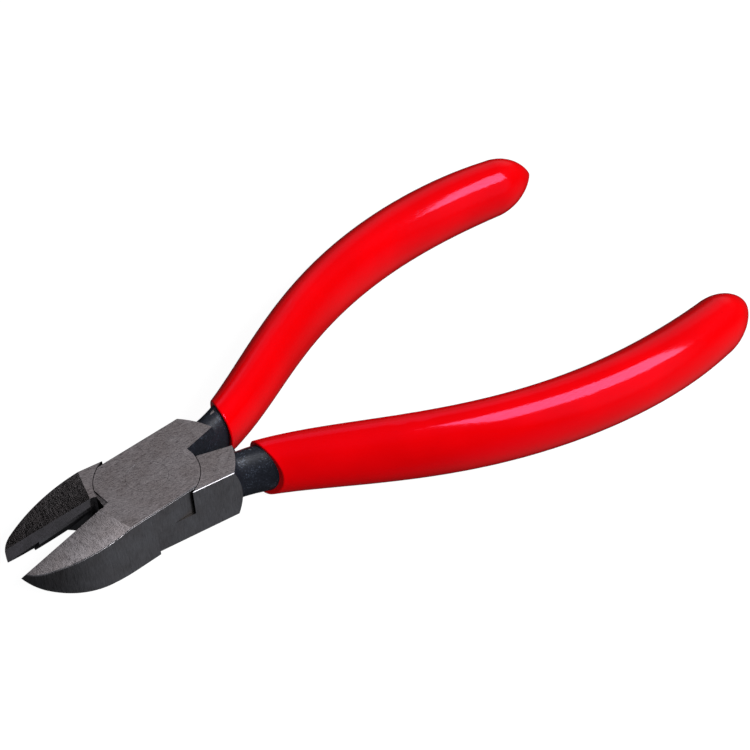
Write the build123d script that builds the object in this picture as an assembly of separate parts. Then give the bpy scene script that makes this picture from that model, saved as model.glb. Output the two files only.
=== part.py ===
from build123d import *
from math import cos, radians, sin, sqrt
import os

# Small diagonal cutting pliers with a lap joint. Millimetres.
# The origin is where the pivot's axis meets the flat lower face of the head.
# +X runs from the pivot to the handles, +Y to the upper lever's handle, +Z up along the pivot's axis.
# Both levers are built shut, with their cutting edges on the XZ plane, and then turned open.

# ---- Head ----
head_width = 14.0          # across the ground flanks
head_thickness = 8.7       # between the ground faces
joint_overhang = 0.93      # how far each half-thickness joint disc would stand out past the flanks
joint_gap = 0.12           # disc to the other lever's shoulder, radial
lap_gap = 0.04             # between the two joint discs
ridge_round = 0.22         # rounding of the edges along the flanks
steepest = 60.0            # degrees from level; edges steeper than this are left sharp

# ---- Jaws ----
jaw_length = 23.1          # pivot's axis to the tip
jaw_shoulder = 0.57        # straight flank from the joint disc to where it starts to curve in
nose_depth = 2.0           # how far the rounded nose stands out past the flank's end
nose_half_width = 3.26     # cutting edge to the flank's end
nose_radius = 4.6
belly_start = 4.57         # joint disc to where the underside starts to rise
edge_gap = 0.04            # left between the cutting edges when the jaws are shut
edge_tip_height = 0.11     # cutting edge above the mid-plane, at the tip
edge_slope = 0.244         # its rise towards the joint, mm per mm
bevel_angle = 50.0         # of the bevel over the cutting edge, from level
bevel_overlap = 0.63       # how far the bevel runs in over the joint disc
grind_setback = 0.07       # joint disc to where the slanted top begins, at the flank
grind_skew = 1.1           # how much farther from the pivot it begins at the cutting edge
grind_slope = 0.203        # its fall towards the tip, mm per mm
hollow_angle = 51.5        # of the hollow under the cutting edge, from level
hollow_setback = 1.37      # joint disc to the end of the hollow
hollow_radius = 6.5        # of the hollow's rounded end, seen from below
edge_land = 0.6            # upright land under the cutting edge
land_setback = 5.1         # tip to where that land stops
throat_radius = 0.7        # of the relief hole between the jaws
throat_setback = 0.67      # joint disc to the relief hole's centre

# ---- Shoulder block, behind the joint ----
block_inner_near = 0.42    # its inner side's distance from the XZ plane, at the joint disc
block_inner_far = 1.57     # and at the neck
block_inner_length = 5.69  # joint disc to the neck, along the inner side
block_outer_length = 2.97  # joint disc to the end of the flank
block_end_radius = 13.0    # of the block's rounded end, seen from above
block_end_bulge = 0.8      # how far the end stands out at half height

# ---- Neck and shank, along the handle's centreline ----
root_depth = 4.12          # how far inside the block the centreline starts
root_offset = 3.4          # from the XZ plane
root_angle = -9.0          # degrees, leaning towards the XZ plane
neck_step = 0.25           # neck's top below the head's face, at the root
neck_radius = 18.0
neck_turn = 38.0
fore_radius = 180.0
fore_turn = 8.0
bow_radius = 88.0
bow_turn = 32.0
heel_length = 12.0         # straight, to the grip's end
shank_stop = 6.0           # shank's end to the grip's end
# half width and half height of the shank, at equal steps from its root to its end
root_half_width = 2.45
shank_sizes = [(2.75, 4.75), (2.8, 4.7), (2.7, 4.4), (2.7, 4.2), (2.6, 3.9), (2.3, 3.4)]

# ---- Grips ----
neck_length = 2.73         # bare neck from the block to the rim, on the XZ plane
rim_lean = 13.5            # degrees, the outer side standing farther from the joint
rim_crown = 17.0           # radius of the rim's curve, seen from the side
lip_radius = 0.22          # rounding of the rim's edge
dome_length = 9.0          # pointed round end
dome_fullness = 2.0        # radius of the dome's side, in half widths; 1 is a plain ellipsoid
dome_tip = 0.15            # radius of its blunt tip, in half widths
grip_start = 3.0           # start of the blank, along the centreline, before the rim is cut
# half width and half height of the grip, at equal steps from there to the dome
grip_sizes = [(3.05, 4.9), (3.55, 5.65), (3.75, 6.1), (4.0, 6.25), (4.4, 6.2), (4.7, 6.1), (4.5, 5.8)]

# ---- Rivet ----
rivet_radius = 2.5
rivet_head_step = 0.7      # how much larger the countersunk heads are, in radius
rivet_head_depth = 1.1
rivet_clearance = 0.04     # radial, in the upper lever only

# ---- Opening ----
rest_opening = 9.8         # degrees between the cutting edges as it lies

mid_height = head_thickness / 2
half_width = head_width / 2
half_edge_gap = edge_gap / 2
overrun = 4.0               # how far the cutting tools run out past the metal
tall = 4 * head_thickness   # reach of the cutting tools
past_tip = jaw_length + overrun
tolerance = 0.01            # for picking faces by their place or their normal
joint_radius = half_width + joint_overhang
block_length = joint_radius + block_inner_length
block_flank = joint_radius + block_outer_length
shank_root = (block_length - root_depth, root_offset)


def tangent_radius(run, rise):
    """Radius of the arc that leaves a line and is a rise away from it after a run along it."""
    return (run ** 2 + rise ** 2) / (2 * rise)


def edge_height(x):
    """Height of the cutting edge at a distance x from the pivot's axis, towards the tip."""
    return mid_height + edge_tip_height + edge_slope * (jaw_length - x)


def jaw_plan():
    """Outline of the upper lever's jaw, on the -Y side."""
    turn_x = -(joint_radius + jaw_shoulder)
    nose_x = -(jaw_length - nose_depth)
    radius = tangent_radius(turn_x - nose_x, half_width - nose_half_width)
    middle_x = (nose_x + turn_x) / 2
    middle_y = radius - half_width - sqrt(radius ** 2 - (middle_x - turn_x) ** 2)
    flank = Polyline((0, -half_edge_gap), (0, -half_width), (turn_x, -half_width))
    curve = ThreePointArc((turn_x, -half_width), (middle_x, middle_y), (nose_x, -nose_half_width))
    nose = RadiusArc((nose_x, -nose_half_width), (-jaw_length, -half_edge_gap), nose_radius)
    inner = Line((-jaw_length, -half_edge_gap), (0, -half_edge_gap))
    return make_face(flank + curve + nose + inner)


def block():
    """The upper lever's shoulder block, on the +Y side, with its end rounded both ways."""
    rise = (block_inner_far - block_inner_near) / (block_length - joint_radius)
    inner_end = Vector(block_length, block_inner_far)
    flank_end = Vector(block_flank, half_width)
    root_y = block_inner_near - rise * joint_radius
    past_end = 2 * block_end_bulge
    far_x = block_length + past_end
    outline = [(0, root_y), (far_x, block_inner_far + rise * past_end), (far_x, half_width), (0, half_width)]
    plan = make_face(Polyline(*outline, close=True))
    chord = flank_end - inner_end
    sagitta_side = Vector(-chord.Y, chord.X).normalized()
    centre = inner_end + chord / 2 + sagitta_side * sqrt(block_end_radius ** 2 - (chord.length / 2) ** 2)
    side = ThreePointArc(
        (block_end_radius, 0),
        (block_end_radius + block_end_bulge, mid_height),
        (block_end_radius, head_thickness),
    )
    box = Polyline((block_end_radius, head_thickness), (0, head_thickness), (0, 0), (block_end_radius, 0))
    barrel = revolve(Plane.XZ * make_face(side + box), Axis.Z)
    return extrude(plan, head_thickness) & Pos(centre.X, centre.Y) * barrel


def disc_plan():
    return Circle(joint_radius) & Rectangle(3 * joint_radius, head_width)


def tool_along_edge(profile, start, stop):
    """Sweep a (y, z) profile, drawn about the cutting edge, from x = -start to x = -stop."""
    corner = [(-start, y, edge_height(start) + z) for y, z in profile]
    face = make_face(Polyline(*corner, close=True))
    return extrude(face, (start - stop) * sqrt(1 + edge_slope ** 2), dir=(1, 0, edge_slope))


def bevel_tool():
    """Everything above the bevel of the cutting edge."""
    out = -half_edge_gap - tall * cos(radians(bevel_angle))
    up = tall * sin(radians(bevel_angle))
    profile = [(-half_edge_gap, 0), (out, up), (tall, up), (tall, 0)]
    return tool_along_edge(profile, past_tip, joint_radius - bevel_overlap)


def hollow_tool(drop, start, stop):
    """Everything below the hollow's slanted wall, with its top a little under the cutting edge."""
    out = -half_edge_gap - tall * cos(radians(hollow_angle))
    down = -drop - tall * sin(radians(hollow_angle))
    profile = [(-half_edge_gap, -drop), (out, down), (tall, down), (tall, -drop)]
    return tool_along_edge(profile, start, stop)


def hollow():
    """The hollow between the jaws, open downwards, with a rounded end at the joint."""
    land_end = jaw_length - land_setback
    deep = hollow_tool(0, past_tip, land_end) + hollow_tool(edge_land, land_end, joint_radius)
    centre_x = -(joint_radius + hollow_setback + hollow_radius)
    round_end = Pos(centre_x, 0) * Cylinder(hollow_radius, tall)
    front = Pos(centre_x - jaw_length / 2, 0) * Box(jaw_length, 4 * hollow_radius, tall)
    return deep & (round_end + front)


def grind_tool():
    """Everything above the slanted flat ground on top of the jaw, falling towards the tip."""
    start = Vector(-(joint_radius + grind_setback), -half_width, head_thickness)
    across = Vector(-grind_skew, half_width, 0)
    along = Vector(-1, 0, -grind_slope)
    flat = Plane(origin=start, x_dir=along, z_dir=across.cross(along))
    wide = 4 * head_width
    return flat * Box(2 * jaw_length, wide, tall, align=(Align.MIN, Align.CENTER, Align.MIN))


def belly_tool():
    """Everything under the rising underside of the jaw, which meets the cutting edge at the tip."""
    start_x = joint_radius + belly_start
    radius = tangent_radius(jaw_length - start_x, edge_height(jaw_length))
    below = Rectangle(2 * radius, 2 * radius, align=(Align.MAX, Align.CENTER)) - Circle(radius)
    profile = Plane.XZ * Pos(-start_x, radius) * below
    return extrude(profile, 2 * head_width, both=True)


def handle_path():
    root_direction = (cos(radians(root_angle)), sin(radians(root_angle)))
    neck = JernArc(shank_root, root_direction, neck_radius, neck_turn)
    fore = JernArc(neck @ 1, neck % 1, fore_radius, -fore_turn)
    bow = JernArc(fore @ 1, fore % 1, bow_radius, -bow_turn)
    heel = Line(bow @ 1, bow @ 1 + (bow % 1) * heel_length)
    return Pos(0, 0, mid_height) * Wire([*neck.edges(), *fore.edges(), *bow.edges(), *heel.edges()])


def section_plane(path, distance):
    """Plane across the handle at a distance along its centreline, with X level and Y up."""
    share = distance / path.length
    along = path.tangent_at(share)
    return Plane(origin=path.position_at(share), x_dir=along.cross(Vector(0, 0, 1)), z_dir=along)


def oval(path, distance, half_y, half_z):
    return section_plane(path, distance) * Ellipse(half_y, half_z)


def tube(path, start, stop, sizes):
    """Loft through ovals of the given half sizes, set at equal steps along the path."""
    step = (stop - start) / (len(sizes) - 1)
    return loft([oval(path, start + step * place, *size) for place, size in enumerate(sizes)])


def shank():
    path = handle_path()
    root_size = (root_half_width, mid_height - neck_step)
    return tube(path, 0, path.length - shank_stop, [root_size, *shank_sizes])


def grip_blank():
    """Outside of a grip, with its rounded end and its trimmed rim, before the shank's room is taken out."""
    path = handle_path()
    dome_start = path.length - dome_length
    body = tube(path, grip_start, dome_start, grip_sizes)
    whole = body + section_plane(path, dome_start) * dome() - rim_tool()
    rim = whole.faces().filter_by(GeomType.CYLINDER).sort_by(Axis.X)[0]
    return fillet(rim.edges(), lip_radius)


def dome():
    """The grip's end: an ogive with a blunt tip, stretched to the grip's section and the dome's length."""
    centre_x = 1 - dome_fullness
    tip_z = sqrt((dome_fullness - dome_tip) ** 2 - centre_x ** 2)
    join = Vector(-centre_x, tip_z).normalized() * dome_fullness + Vector(centre_x, 0)
    side = RadiusArc((1, 0), (join.X, join.Y), -dome_fullness)
    tip = RadiusArc((join.X, join.Y), (0, tip_z + dome_tip), -dome_tip)
    base = Polyline((0, tip_z + dome_tip), (0, 0), (1, 0))
    ogive = revolve(Plane.XZ * make_face(side + tip + base), Axis.Z)
    return scale(ogive, by=(*grip_sizes[-1], dome_length / (tip_z + dome_tip)))


def rim_tool():
    """Everything on the joint's side of the grip's rim, which bows away from the joint at half height."""
    wheel = Pos(-rim_crown, 0) * Rot(90, 0, 0) * Cylinder(rim_crown, 4 * head_width)
    return Pos(block_length + neck_length, 0, mid_height) * Rot(0, 0, -rim_lean) * wheel


def rivet_shape(gap):
    """The rivet, with its heads flush with the lever's faces, grown all round by a gap."""
    radius = rivet_radius + gap
    head_radius = radius + rivet_head_step
    upright = (Align.CENTER, Align.CENTER, Align.MIN)
    barrel = Cylinder(radius, head_thickness, align=upright)
    low_head = Cone(head_radius, radius, rivet_head_depth, align=upright)
    high_head = Cone(radius, head_radius, rivet_head_depth, align=upright)
    return barrel + low_head + Pos(0, 0, head_thickness - rivet_head_depth) * high_head


def ridges(head):
    """Long edges of the flanks and of the jaw's curve, above and below, without its nose."""
    nose_x = -(jaw_length - nose_depth)
    sides = []
    for face in head.faces().filter_by(lambda face: abs(face.normal_at().Z) < tolerance):
        middle = face.center()
        on_jaw = nose_x < middle.X < -joint_radius and middle.Y < -nose_half_width
        on_flank = abs(abs(middle.Y) - half_width) < tolerance
        if on_jaw or on_flank:
            sides.append(face)
    edges = [edge for face in sides for edge in face.edges()]
    return [edge for edge in edges if abs(edge.tangent_at(0.5).Z) < sin(radians(steepest))]


def head_blank():
    """The upper lever's head, shut, before its joint is cut."""
    jaw = extrude(jaw_plan(), head_thickness) - belly_tool() - grind_tool()
    rest = extrude(disc_plan(), head_thickness) + block()
    head = fillet(ridges(jaw + rest), ridge_round)
    head -= bevel_tool()
    head -= hollow()
    return head - Pos(-(joint_radius + throat_setback), 0) * Cylinder(throat_radius, tall)


def half_joint_tool(low, high):
    """The room that a lever leaves for the other lever's joint disc."""
    room = Cylinder(joint_radius + joint_gap, high - low, align=(Align.CENTER, Align.CENTER, Align.MIN))
    return Pos(0, 0, low) * room


def opened(piece, side):
    """Turn a piece from the shut pose to the resting one; side is 1 for the upper lever."""
    return Rot(0, 0, side * rest_opening / 2) * piece


head = head_blank()
stem = shank()
other_head = mirror(head, about=Plane.XZ)
other_stem = mirror(stem, about=Plane.XZ)

upper_lever = head - half_joint_tool(-overrun, mid_height + lap_gap / 2)
upper_lever = upper_lever - rivet_shape(rivet_clearance) + stem
lower_lever = other_head - half_joint_tool(mid_height - lap_gap / 2, head_thickness + overrun)
lower_lever = lower_lever - rivet_shape(0) + other_stem

grip = grip_blank() - stem
other_grip = mirror(grip, about=Plane.XZ)

parts = {
    "upper_lever": opened(upper_lever, 1),
    "lower_lever": opened(lower_lever, -1),
    "pivot_rivet": rivet_shape(0),
    "upper_grip": opened(grip, 1),
    "lower_grip": opened(other_grip, -1),
}

os.makedirs("parts", exist_ok=True)
for name, piece in parts.items():
    export_step(piece, f"parts/{name}.step")
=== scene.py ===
"""Small diagonal cutting pliers: finishes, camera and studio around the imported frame. Metres."""
from math import cos, pi, radians, sin

import bpy
from mathutils import Matrix, Quaternion, Vector


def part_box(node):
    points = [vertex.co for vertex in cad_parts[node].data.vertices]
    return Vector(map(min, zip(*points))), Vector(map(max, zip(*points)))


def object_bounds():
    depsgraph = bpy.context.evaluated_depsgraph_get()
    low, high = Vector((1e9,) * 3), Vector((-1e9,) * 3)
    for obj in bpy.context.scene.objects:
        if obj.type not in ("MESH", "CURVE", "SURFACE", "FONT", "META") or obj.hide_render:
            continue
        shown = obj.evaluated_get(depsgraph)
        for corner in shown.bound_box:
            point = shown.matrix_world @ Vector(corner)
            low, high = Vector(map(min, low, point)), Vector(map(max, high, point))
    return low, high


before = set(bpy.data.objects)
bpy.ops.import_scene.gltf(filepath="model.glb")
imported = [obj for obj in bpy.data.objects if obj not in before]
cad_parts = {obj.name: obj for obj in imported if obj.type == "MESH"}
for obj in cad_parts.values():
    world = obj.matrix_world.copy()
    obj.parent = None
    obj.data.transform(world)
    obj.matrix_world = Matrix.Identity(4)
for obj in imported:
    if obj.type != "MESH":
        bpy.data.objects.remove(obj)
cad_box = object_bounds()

MM = 0.001

# ---- The head ----
head_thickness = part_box("pivot_rivet")[1].z
mid_height = head_thickness / 2
rest_half_angle = radians(4.9)       # each lever is turned this far from the shut pose
head_half_width = 7.0 * MM
joint_radii = 7.7 * MM, 8.2 * MM     # the upright sides of the joint lie between these
block_end = 11.0 * MM                # farthest that the shoulder blocks' ground sides reach
ridge_width = 0.35 * MM              # the rounded ridges along the flanks
ridge_height = 0.25 * MM
lap_room = 0.1 * MM                  # the joint discs' inner faces lie this near to mid height
place_tolerance = 0.02 * MM

# ---- Camera ----
camera_azimuth = -36.8
camera_elevation = 40.66
camera_roll = -2.617
camera_distance = 250.7 * MM
camera_lens = 73.83                  # focal length and sensor width, in mm
camera_sensor = 36.0
camera_clip = 0.01
aim_shift = Vector((3.57, -0.07, 0)) * MM    # from the middle of the object's box

# ---- Floor ----
floor_reach = 6.0
floor_gap = 0.02 * MM                # under the object's lowest point
floor_grey = 0.15
floor_glow = 0.94                    # it glows like a light table, so that shadows on it stay faint

# ---- Light; azimuths are counted from +X towards +Y, in degrees ----
key_azimuth, key_elevation = -71.5, 38
key_distance = 0.9
key_size = (0.78, 0.46)
key_radiance = 11.5
soft_fill = 0.31                     # radiance of the surround for dull surfaces, from all round
surround = 0.03                      # radiance of the surround in reflections
# broad light patches in it: place, angle at which each fades out, angle of full light, radiance
sky_patch = (0, 90), 85, 60, 0.10         # overhead
top_patch = (30, 36), 30, 6, 0.34         # mirrored by the ground top faces
jaw_patch = (72, 66), 26, 8, 0.80         # mirrored by the near jaw's slanted face
flank_patch = (-53, -41), 45, 15, 0.16    # mirrored by the ground flanks
glow_patch = (-72, 10), 30, 8, 0.5        # soft glow under the key light
light_patches = [sky_patch, top_patch, jaw_patch, flank_patch, glow_patch]
shade_place = (96, 36)               # dark patch that the far jaw mirrors
shade_edge, shade_full = 22, 18
shade_depth = 0.95
surround_colour = (0.93, 0.96, 1.0, 1)
white = (1, 1, 1, 1)


def shut_frame(side):
    """Turns a point of a lever back to the pose in which its cutting edge lies on the XZ plane."""
    return Matrix.Rotation(-side * rest_half_angle, 3, "Z")


# ---- Node building ----
class Shader:
    """One material's node tree, with short calls for the nodes that these finishes use."""

    def __init__(self, name):
        self.material = bpy.data.materials.new(name)
        self.material.use_nodes = True
        self.tree = self.material.node_tree
        self.surface = self.tree.nodes["Principled BSDF"]
        self.coords = self.tree.nodes.new("ShaderNodeTexCoord").outputs["Object"]

    def node(self, kind, **settings):
        made = self.tree.nodes.new(kind)
        for key, value in settings.items():
            setattr(made, key, value)
        return made

    def join(self, source, target):
        self.tree.links.new(source, target)

    def mapped(self, scale, turn=0.0):
        """Object coordinates turned about Z, then scaled to pattern cells per metre."""
        turned = self.node("ShaderNodeMapping")
        turned.inputs["Rotation"].default_value = (0, 0, turn)
        self.join(self.coords, turned.inputs["Vector"])
        scaled = self.node("ShaderNodeMapping")
        scaled.inputs["Scale"].default_value = scale
        self.join(turned.outputs["Vector"], scaled.inputs["Vector"])
        return scaled.outputs["Vector"]

    def noise(self, vector, detail, roughness):
        made = self.node("ShaderNodeTexNoise")
        made.inputs["Scale"].default_value = 1.0
        made.inputs["Detail"].default_value = detail
        made.inputs["Roughness"].default_value = roughness
        self.join(vector, made.inputs["Vector"])
        return made.outputs["Fac"]

    def speckle(self, size, detail, roughness):
        """Even noise with cells of the given size."""
        return self.noise(self.mapped((1 / size,) * 3), detail, roughness)

    def streaks(self, length, width, direction, turn, detail):
        """Noise drawn out along one axis: length and width are the size of one streak."""
        scale = [1 / width] * 3
        scale["XYZ".index(direction)] = 1 / length
        return self.noise(self.mapped(scale, turn), detail, 0.6)

    def ramp(self, value, low, high, start=0.3, stop=0.7):
        """A value going from start to stop turned into one going from low to high."""
        made = self.node("ShaderNodeMapRange", clamp=True)
        made.inputs["From Min"].default_value = start
        made.inputs["From Max"].default_value = stop
        made.inputs["To Min"].default_value = low
        made.inputs["To Max"].default_value = high
        self.join(value, made.inputs["Value"])
        return made.outputs["Result"]

    def colours(self, value, *stops):
        """A colour ramp through (place, colour) stops."""
        made = self.node("ShaderNodeValToRGB")
        band = made.color_ramp
        while len(band.elements) < len(stops):
            band.elements.new(0.5)
        for element, (place, colour) in zip(band.elements, stops):
            element.position = place
            element.color = (*colour, 1)
        self.join(value, made.inputs["Fac"])
        return made.outputs["Color"]

    def mixed(self, share, first, second, blend="MIX"):
        """Two colours blended; the share is a number or a value made by other nodes."""
        made = self.node("ShaderNodeMix", data_type="RGBA", blend_type=blend)
        if isinstance(share, float):
            made.inputs["Factor"].default_value = share
        else:
            self.join(share, made.inputs["Factor"])
        first_colour, second_colour = made.inputs[6:8]
        self.join(first, first_colour)
        self.join(second, second_colour)
        return made.outputs[2]

    def sum_of(self, *weighted):
        """The weighted sum of several values."""
        total = None
        for value, weight in weighted:
            part = self.node("ShaderNodeMath", operation="MULTIPLY_ADD")
            self.join(value, part.inputs[0])
            part.inputs[1].default_value = weight
            if total is None:
                part.inputs[2].default_value = 0.0
            else:
                self.join(total, part.inputs[2])
            total = part.outputs[0]
        return total

    def share_inwards(self, turn):
        """0 at the head's flanks to 1 at its middle plane, in the shut pose."""
        split = self.node("ShaderNodeSeparateXYZ")
        self.join(self.mapped((1 / head_half_width,) * 3, turn), split.inputs[0])
        outwards = self.node("ShaderNodeMath", operation="ABSOLUTE")
        self.join(split.outputs["Y"], outwards.inputs[0])
        inwards = self.node("ShaderNodeMath", operation="SUBTRACT")
        inwards.inputs[0].default_value = 1.0
        self.join(outwards.outputs[0], inwards.inputs[1])
        return inwards.outputs[0]

    def bump(self, height, depth):
        """Surface normals for a pattern that stands up to the given depth."""
        made = self.node("ShaderNodeBump")
        made.inputs["Strength"].default_value = 1.0
        made.inputs["Distance"].default_value = depth
        self.join(height, made.inputs["Height"])
        return made.outputs["Normal"]


def ground_steel(name, dark, light, grain, side, roughness, mottle=0.0, depth=0.010, painted_sheen=0.0):
    """Ground tool steel: short scratches along one axis, crossing ones, specks and faint stains.

    The mottle adds specks, the scratches' depth is in mm, and the painted sheen brightens the outer
    side: a painted reflection.
    """
    made = Shader(name)
    turn = -side * rest_half_angle
    fine = made.streaks(1.3 * MM, 0.10 * MM, grain, turn + radians(7), 4.0)
    coarse = made.streaks(3.2 * MM, 0.30 * MM, grain, turn - radians(5), 3.0)
    cross = made.streaks(1.1 * MM, 0.15 * MM, grain, turn + radians(52), 2.0)
    specks = made.speckle(0.20 * MM, 4.0, 0.75)
    stains = made.speckle(3.5 * MM, 3.0, 0.5)
    height = made.sum_of((fine, 1.0), (coarse, 0.6), (cross, 0.6), (specks, mottle))
    shade = made.sum_of((fine, 0.36), (coarse, 0.10), (cross, 0.20), (specks, 0.34 + mottle * 0.3))
    worn = made.colours(shade, (0.40, dark), (0.62, light))
    warm = made.colours(stains, (0.35, (0.80, 0.77, 0.75)), (0.65, (1.0, 1.0, 1.0)))
    stains_and_painted_sheen = made.mixed(0.8, worn, warm, "MULTIPLY")
    # painted reflection: the colour is made lighter towards the flanks and darker towards the middle
    # plane, standing in for a reflected light gradient
    if painted_sheen:
        painted_sheen_pattern = made.ramp(made.share_inwards(turn), 1.0 + painted_sheen, 1.0 - painted_sheen, 0.0, 1.0)
        stains_and_painted_sheen = made.mixed(1.0, stains_and_painted_sheen, painted_sheen_pattern, "MULTIPLY")
    made.join(stains_and_painted_sheen, made.surface.inputs["Base Color"])
    made.join(made.ramp(fine, roughness - 0.07, roughness + 0.09), made.surface.inputs["Roughness"])
    made.join(made.bump(height, depth * MM), made.surface.inputs["Normal"])
    made.surface.inputs["Metallic"].default_value = 1.0
    return made.material


def painted_shade_steel(name):
    """Steel beside the cutting edge: a dull, nearly black grey with fine specks, which is painted
    shade.
    """
    made = Shader(name)
    scale = made.speckle(0.25 * MM, 4.0, 0.7)
    patches = made.speckle(2.2 * MM, 3.0, 0.5)
    tone = made.sum_of((scale, 0.6), (patches, 0.4))
    # painted shade: these near-black greys stand in for the shade on the bevel
    grey = made.colours(tone, (0.38, (0.006, 0.0055, 0.007)), (0.62, (0.022, 0.020, 0.025)))
    made.join(grey, made.surface.inputs["Base Color"])
    made.join(made.ramp(scale, 0.40, 0.52), made.surface.inputs["Roughness"])
    made.join(made.bump(tone, 0.012 * MM), made.surface.inputs["Normal"])
    made.surface.inputs["Specular IOR Level"].default_value = 0.12
    return made.material


def black_oxide(name):
    """Blackened forged steel: a fine cast grain with scattered glossier spots, painted lighter and
    bluish as painted glints.
    """
    made = Shader(name)
    grain = made.speckle(0.28 * MM, 5.0, 0.7)
    patches = made.speckle(1.9 * MM, 3.0, 0.6)
    glints = made.speckle(0.20 * MM, 3.0, 0.7)
    painted_sheen_pattern = made.sum_of((patches, 0.30), (glints, 0.70))
    base = made.colours(grain, (0.3, (0.004, 0.005, 0.008)), (0.75, (0.015, 0.017, 0.026)))
    # painted glint: the lighter bluish colour on the glossier spots stands in for glints of light;
    # their lower roughness is real
    bright = made.colours(grain, (0.3, (0.04, 0.05, 0.075)), (0.7, (0.15, 0.18, 0.24)))
    share = made.ramp(painted_sheen_pattern, 0.0, 0.85, 0.56, 0.66)
    made.join(made.mixed(share, base, bright), made.surface.inputs["Base Color"])
    made.join(made.ramp(painted_sheen_pattern, 0.46, 0.30, 0.45, 0.68), made.surface.inputs["Roughness"])
    height = made.sum_of((grain, 1.0), (patches, 1.2))
    made.join(made.bump(height, 0.035 * MM), made.surface.inputs["Normal"])
    made.surface.inputs["Metallic"].default_value = 0.25
    made.surface.inputs["Specular IOR Level"].default_value = 0.3
    return made.material


def dipped_plastic(name):
    """Glossy dipped soft PVC: saturated red with slow waviness, small pits and a faint orange peel."""
    made = Shader(name)
    waves = made.speckle(9 * MM, 2.0, 0.4)
    peel = made.speckle(0.9 * MM, 3.0, 0.5)
    pits = made.speckle(0.35 * MM, 2.0, 0.5)
    tone = made.colours(waves, (0.3, (0.57, 0.0, 0.0008)), (0.7, (0.64, 0.0, 0.0012)))
    pitted = made.ramp(pits, 0.0, 1.0, 0.70, 0.80)
    speck = made.colours(pitted, (0.0, (1, 1, 1)), (1.0, (0.80, 0.7, 0.7)))
    made.join(made.mixed(1.0, tone, speck, "MULTIPLY"), made.surface.inputs["Base Color"])
    made.join(made.ramp(peel, 0.09, 0.13), made.surface.inputs["Roughness"])
    height = made.sum_of((waves, 2.0), (peel, 0.12), (pits, 0.02))
    made.join(made.bump(height, 0.010 * MM), made.surface.inputs["Normal"])
    made.surface.inputs["Specular IOR Level"].default_value = 0.30
    # painted highlight colour: the pink specular tint stands in for the colour of the light in the
    # highlights
    made.surface.inputs["Specular Tint"].default_value = (1.0, 0.28, 0.70, 1)
    return made.material


# ---- Levers: each face takes the finish of its region ----
TOP_DARK, TOP_LIGHT = (0.075, 0.063, 0.064), (0.60, 0.53, 0.535)
JAW_DARK, JAW_LIGHT = (0.12, 0.105, 0.107), (0.76, 0.68, 0.69)
FLANK_DARK, FLANK_LIGHT = (0.24, 0.235, 0.25), (0.36, 0.355, 0.385)
# painted shade: the joint's faces, in the narrow gap between the levers, are painted near black
PAINTED_JOINT_SHADE_DARK, PAINTED_JOINT_SHADE_LIGHT = (0.02, 0.018, 0.016), (0.05, 0.046, 0.042)

# Limits for the parts of a face's unit normal
UPRIGHT_Z = 0.01
LEVEL_Z = 0.999
SLANT_Z = 0.95
BEVEL_Y, BEVEL_Z = 0.5, 0.55
RADIAL = 0.995


def is_joint_side(normal, centre):
    """True on the upright round sides of the lap joint, which face along a radius from the pivot."""
    reach = centre.to_2d().length
    nearest, farthest = joint_radii
    if abs(normal.z) > UPRIGHT_Z or not nearest < reach < farthest:
        return False
    return abs(normal.to_2d().normalized().dot(centre.to_2d()) / reach) > RADIAL


def region(normal, centre):
    """Which finish a lever's face has, by its normal and centre in the shut pose."""
    level = abs(normal.z) > LEVEL_Z
    upright = abs(normal.z) < UPRIGHT_Z
    from_top = head_thickness - centre.z
    from_side = head_half_width - abs(centre.y)
    if level and min(centre.z, from_top) < place_tolerance:
        return "top"
    if level and abs(centre.z - mid_height) < lap_room or is_joint_side(normal, centre):
        return "joint"
    if upright and abs(from_side) < place_tolerance:
        return "flank"
    if centre.x > 0:
        in_ridge = from_side < ridge_width and centre.x < block_end
        return "flank" if in_ridge and min(centre.z, from_top) < ridge_height else "neck"
    if abs(normal.z) > SLANT_Z:
        return "slant"
    if abs(normal.y) > BEVEL_Y and abs(normal.z) > BEVEL_Z:
        return "bevel"
    return "flank"


def finish_lever(name, side):
    """Give a lever's object one material per region."""
    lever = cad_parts[name]
    label = name.split("_")[0]
    finishes = {
        "top": ground_steel(f"{label}_ground_face", TOP_DARK, TOP_LIGHT, "X", side, 0.32, mottle=0.3),
        # the jaw face's painted sheen is a painted reflection, lighter towards the ridge
        "slant": ground_steel(
            f"{label}_jaw_face", JAW_DARK, JAW_LIGHT, "Y", side, 0.20,
            mottle=0.6, depth=0.005, painted_sheen=0.35,
        ),
        "bevel": painted_shade_steel(f"{label}_cutting_bevel"),
        "flank": ground_steel(f"{label}_ground_flank", FLANK_DARK, FLANK_LIGHT, "Z", side, 0.32),
        "neck": black_oxide(f"{label}_black_neck"),
        "joint": ground_steel(f"{label}_joint_painted_shade", PAINTED_JOINT_SHADE_DARK, PAINTED_JOINT_SHADE_LIGHT, "X", side, 0.35),
    }
    lever.data.materials.clear()
    for finish in finishes.values():
        lever.data.materials.append(finish)
    order = list(finishes)
    shut = shut_frame(side)
    for face in lever.data.polygons:
        face.material_index = order.index(region(shut @ face.normal, shut @ face.center))


finish_lever("upper_lever", 1)
finish_lever("lower_lever", -1)

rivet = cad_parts["pivot_rivet"]
rivet.data.materials.clear()
rivet_finish = ground_steel("rivet_ground_face", TOP_DARK, TOP_LIGHT, "X", 1, 0.32, mottle=0.3)
rivet.data.materials.append(rivet_finish)

grip_finish = dipped_plastic("dipped_red_plastic")
for grip in ("upper_grip", "lower_grip"):
    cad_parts[grip].data.materials.clear()
    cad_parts[grip].data.materials.append(grip_finish)


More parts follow.
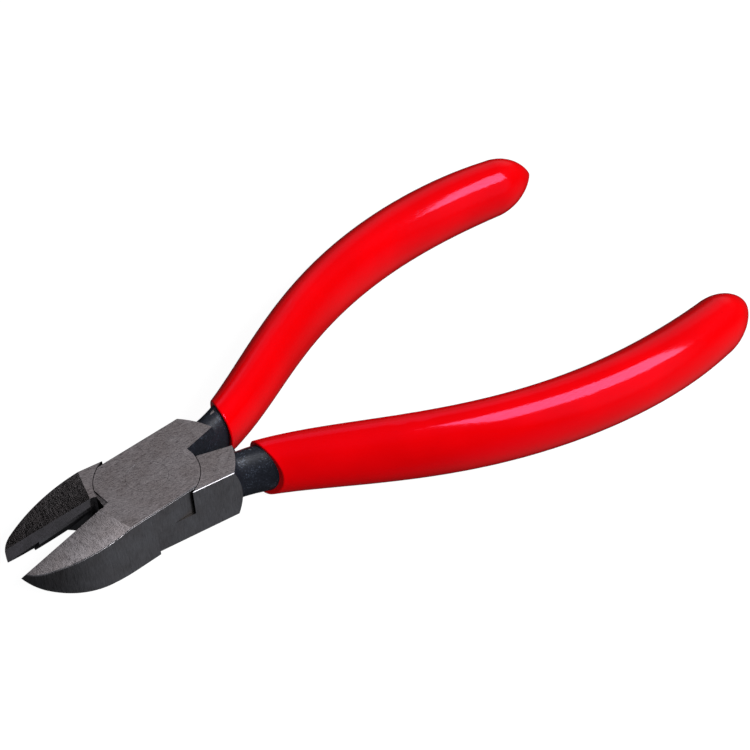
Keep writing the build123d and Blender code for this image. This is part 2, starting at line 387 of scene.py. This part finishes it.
# ---- Camera ----
def add_camera():
    low, high = cad_box
    aim = (low + high) / 2 + aim_shift
    azimuth, elevation = radians(camera_azimuth), radians(camera_elevation)
    back = Vector((sin(azimuth) * cos(elevation), -cos(azimuth) * cos(elevation), sin(elevation)))
    data = bpy.data.cameras.new("camera")
    data.lens = camera_lens
    data.sensor_width = camera_sensor
    data.clip_start = camera_clip
    camera = bpy.data.objects.new("camera", data)
    camera.rotation_mode = "QUATERNION"
    roll = Quaternion((0, 0, 1), radians(camera_roll))
    camera.rotation_quaternion = (-back).to_track_quat("-Z", "Y") @ roll
    camera.location = aim + back * camera_distance
    bpy.context.scene.collection.objects.link(camera)
    bpy.context.scene.camera = camera


add_camera()


# ---- Studio ----
def towards(azimuth, elevation):
    """Unit vector at an azimuth, counted from +X towards +Y, and an elevation, in degrees."""
    a, e = radians(azimuth), radians(elevation)
    return Vector((cos(a) * cos(e), sin(a) * cos(e), sin(e)))


def add_floor():
    """A plain white light table."""
    corners = [(x * floor_reach, y * floor_reach, 0) for x, y in ((-1, -1), (1, -1), (1, 1), (-1, 1))]
    mesh = bpy.data.meshes.new("floor")
    mesh.from_pydata(corners, [], [(0, 1, 2, 3)])
    floor = bpy.data.objects.new("floor", mesh)
    floor.location.z = cad_box[0].z - floor_gap
    pale = bpy.data.materials.new("pale_floor")
    pale.use_nodes = True
    surface = pale.node_tree.nodes["Principled BSDF"]
    surface.inputs["Base Color"].default_value = (floor_grey, floor_grey, floor_grey, 1)
    surface.inputs["Roughness"].default_value = 0.9
    surface.inputs["Specular IOR Level"].default_value = 0.0
    surface.inputs["Emission Color"].default_value = white
    surface.inputs["Emission Strength"].default_value = floor_glow
    mesh.materials.append(pale)
    floor.visible_glossy = False
    floor.visible_diffuse = False
    bpy.context.scene.collection.objects.link(floor)


def add_softbox(name, azimuth, elevation, distance, size, radiance):
    """A rectangular soft light that looks at the object's middle."""
    direction = towards(azimuth, elevation)
    data = bpy.data.lights.new(name, "AREA")
    data.shape = "RECTANGLE"
    data.size, data.size_y = size
    data.energy = radiance * pi * size[0] * size[1]
    light = bpy.data.objects.new(name, data)
    light.location = (cad_box[0] + cad_box[1]) / 2 + direction * distance
    light.rotation_mode = "QUATERNION"
    light.rotation_quaternion = (-direction).to_track_quat("-Z", "Y")
    bpy.context.scene.collection.objects.link(light)


def add_world():
    """A dim surround with broad light patches and one dark patch, and a white backdrop."""
    world = bpy.data.worlds.new("studio")
    world.use_nodes = True
    bpy.context.scene.world = world
    nodes, links = world.node_tree.nodes, world.node_tree.links
    direction = nodes.new("ShaderNodeTexCoord").outputs["Generated"]

    def level(vector, edge, full, value):
        """The given value where a direction is near a vector, fading to nothing at the edge."""
        dot = nodes.new("ShaderNodeVectorMath")
        dot.operation = "DOT_PRODUCT"
        dot.inputs[1].default_value = vector
        links.new(direction, dot.inputs[0])
        fade = nodes.new("ShaderNodeMapRange")
        fade.interpolation_type = "SMOOTHSTEP"
        fade.inputs["From Min"].default_value = cos(radians(edge))
        fade.inputs["From Max"].default_value = cos(radians(full))
        fade.inputs["To Max"].default_value = value
        links.new(dot.outputs["Value"], fade.inputs["Value"])
        return fade.outputs["Result"]

    def combined(operation, first, second):
        """A sum, a difference or a product; each term is a number or a value made by other nodes."""
        made = nodes.new("ShaderNodeMath")
        made.operation = operation
        for source, target in zip((first, second), made.inputs):
            if isinstance(source, float):
                target.default_value = source
            else:
                links.new(source, target)
        return made.outputs[0]

    lit = surround
    for place, edge, full, radiance in light_patches:
        lit = combined("ADD", lit, level(towards(*place), edge, full, radiance))
    shade = level(towards(*shade_place), shade_edge, shade_full, shade_depth)
    mirrored = combined("MULTIPLY", lit, combined("SUBTRACT", 1.0, shade))
    rays = nodes.new("ShaderNodeLightPath").outputs
    strength = nodes.new("ShaderNodeMix")
    strength.inputs["A"].default_value = soft_fill
    links.new(rays["Is Glossy Ray"], strength.inputs["Factor"])
    links.new(mirrored, strength.inputs["B"])
    links.new(strength.outputs[0], nodes["Background"].inputs["Strength"])
    nodes["Background"].inputs["Color"].default_value = surround_colour
    backdrop = nodes.new("ShaderNodeBackground")
    backdrop.inputs["Strength"].default_value = 1.0
    backdrop.inputs["Color"].default_value = white
    either = nodes.new("ShaderNodeMixShader")
    links.new(rays["Is Camera Ray"], either.inputs[0])
    links.new(nodes["Background"].outputs[0], either.inputs[1])
    links.new(backdrop.outputs[0], either.inputs[2])
    links.new(either.outputs[0], nodes["World Output"].inputs["Surface"])


add_floor()
add_world()
add_softbox("key", key_azimuth, key_elevation, key_distance, key_size, key_radiance)

bpy.context.scene.view_settings.view_transform = "Standard"
